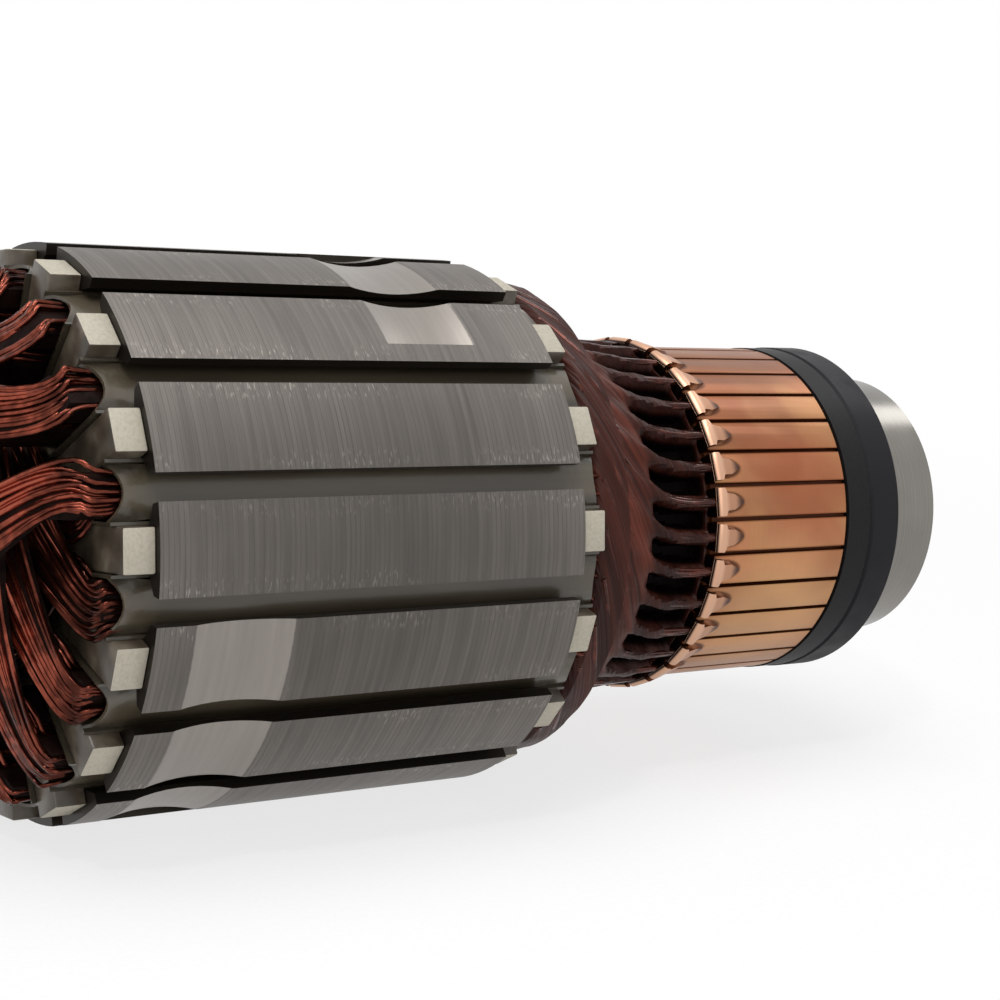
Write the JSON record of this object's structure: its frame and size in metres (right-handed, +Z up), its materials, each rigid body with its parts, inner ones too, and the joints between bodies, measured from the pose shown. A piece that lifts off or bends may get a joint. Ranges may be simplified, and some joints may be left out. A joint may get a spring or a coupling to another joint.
{
  "type": "motor armature",
  "caption": "Wound armature of a universal motor: slotted laminated core on a stepped shaft, enamelled copper coils, hook commutator and a sealed ball bearing at the commutator end.",
  "frame": {"origin": "on the shaft's axis, at the middle of the ball bearing's width", "axes": "+X along the shaft, from the drive end towards the commutator end; +Z up as the armature lies on its core; a slot mouth faces straight down"},
  "size_m": [0.1704, 0.054, 0.054],
  "materials": {
    "shaft_steel": "ground",
    "core_steel": "turned laminations, satin",
    "end_insulation": "moulded, cream",
    "liner_film": "varnished film",
    "slot_closure": "varnished strip",
    "magnet_wire": "enamelled copper under varnish",
    "commutator_copper": "turned copper",
    "moulding": "moulded, black",
    "bush_steel": "turned",
    "disc_plastic": "moulded, dark grey",
    "bearing_steel": "ground",
    "ball_steel": "polished",
    "cage_plastic": "moulded",
    "shield_steel": "pressed"
  },
  "bodies": {
    "root": {"shaft": "shaft_steel", "lamination_stack": "core_steel", "end_insulator_drive": "end_insulation", "end_insulator_commutator": "end_insulation", "slot_liners": "liner_film", "slot_closure_01": "slot_closure", "slot_closure_02": "slot_closure", "slot_closure_03": "slot_closure", "slot_closure_04": "slot_closure", "slot_closure_05": "slot_closure", "slot_closure_06": "slot_closure", "slot_closure_07": "slot_closure", "slot_closure_08": "slot_closure", "slot_closure_09": "slot_closure", "slot_closure_10": "slot_closure", "slot_closure_11": "slot_closure", "slot_closure_12": "slot_closure", "slot_closure_13": "slot_closure", "slot_closure_14": "slot_closure", "slot_closure_15": "slot_closure", "slot_closure_16": "slot_closure", "coil_01": "magnet_wire", "coil_02": "magnet_wire", "coil_03": "magnet_wire", "coil_04": "magnet_wire", "coil_05": "magnet_wire", "coil_06": "magnet_wire", "coil_07": "magnet_wire", "coil_08": "magnet_wire", "coil_09": "magnet_wire", "coil_10": "magnet_wire", "coil_11": "magnet_wire", "coil_12": "magnet_wire", "coil_13": "magnet_wire", "coil_14": "magnet_wire", "coil_15": "magnet_wire", "coil_16": "magnet_wire", "lead_wires": "magnet_wire", "commutator_bars": "commutator_copper", "commutator_moulding": "moulding", "commutator_bush": "bush_steel", "dust_disc": "disc_plastic", "bearing_inner_ring": "bearing_steel"},
    "outer_ring": {"bearing_outer_ring": "bearing_steel", "bearing_shield_inner": "shield_steel", "bearing_shield_outer": "shield_steel"},
    "ball_set": {"bearing_balls": "ball_steel", "bearing_cage": "cage_plastic"}
  },
  "joints": [
    {"name": "outer_ring_turn", "type": "hinge", "parent": "root", "child": "outer_ring", "pos_m": [0, 0, 0], "axis": [1, 0, 0], "continuous": true},
    {"name": "ball_set_orbit", "type": "hinge", "parent": "root", "child": "ball_set", "pos_m": [0, 0, 0], "axis": [1, 0, 0], "continuous": true}
  ],
  "couplings": [
    {"joint": "ball_set_orbit", "follows": "outer_ring_turn", "ratio": 0.6178}
  ]
}
